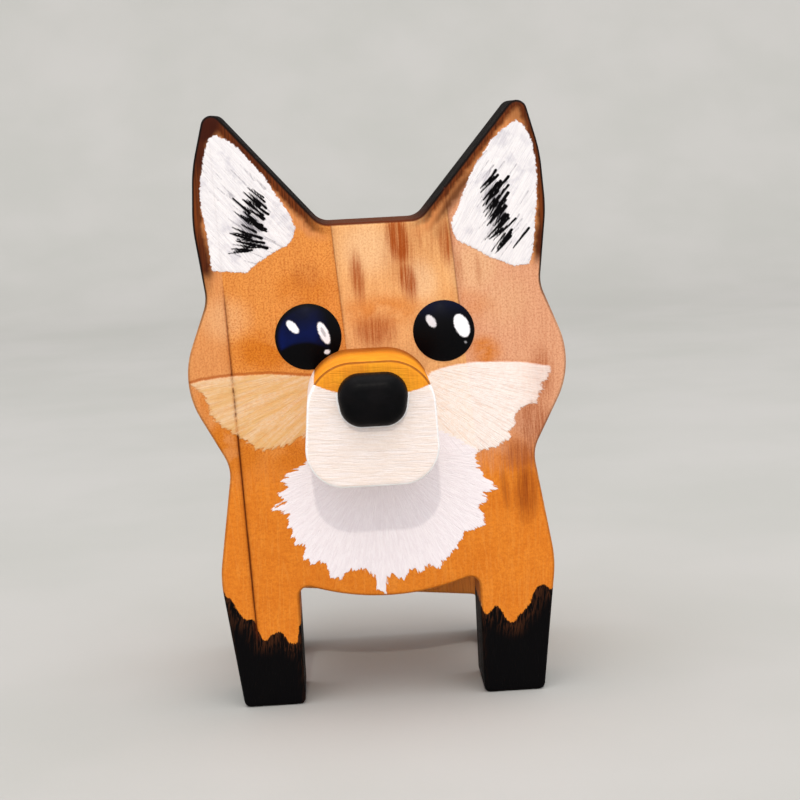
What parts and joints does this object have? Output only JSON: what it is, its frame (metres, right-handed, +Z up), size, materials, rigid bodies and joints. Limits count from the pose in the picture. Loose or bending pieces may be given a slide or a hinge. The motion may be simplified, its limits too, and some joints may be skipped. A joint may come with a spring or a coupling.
{
  "type": "eyeglasses display stand",
  "caption": "Free-standing wooden fox that holds a pair of eyeglasses on its snout, with a glued-up front board, a body block and a hind board on legs.",
  "frame": {"origin": "centre of the stand's footprint box, on the surface its four feet stand on", "axes": "+Z up, the fox faces -Y, +X is to the right of somebody who looks it in the face"},
  "size_m": [0.0972, 0.091, 0.1544],
  "materials": {
    "painted_board": "brushed orange, cream and black paint over pine, satin varnish",
    "painted_back": "thin orange paint over pine with black legs, satin varnish",
    "painted_snout": "cream brushed paint with an orange cap, satin varnish",
    "black_gloss": "black gloss lacquer",
    "eye_gloss": "navy and black paint with white highlights under clear gloss",
    "dowel_wood": "bare beech",
    "screw_steel": "zinc plated"
  },
  "bodies": {
    "root": {"front_board_stave_1": "painted_board", "front_board_stave_2": "painted_board", "front_board_stave_3": "painted_board", "front_board_stave_4": "painted_board", "hind_board_stave_1": "painted_back", "hind_board_stave_2": "painted_back", "hind_board_stave_3": "painted_back", "body_block": "painted_back", "snout_block": "painted_snout", "nose": "black_gloss", "nose_peg": "dowel_wood", "eye_left": "eye_gloss", "eye_right": "eye_gloss", "front_dowel_left": "dowel_wood", "front_dowel_right": "dowel_wood", "snout_screw_left": "screw_steel", "snout_screw_right": "screw_steel", "hind_screw_left": "screw_steel", "hind_screw_right": "screw_steel"}
  },
  "joints": []
}
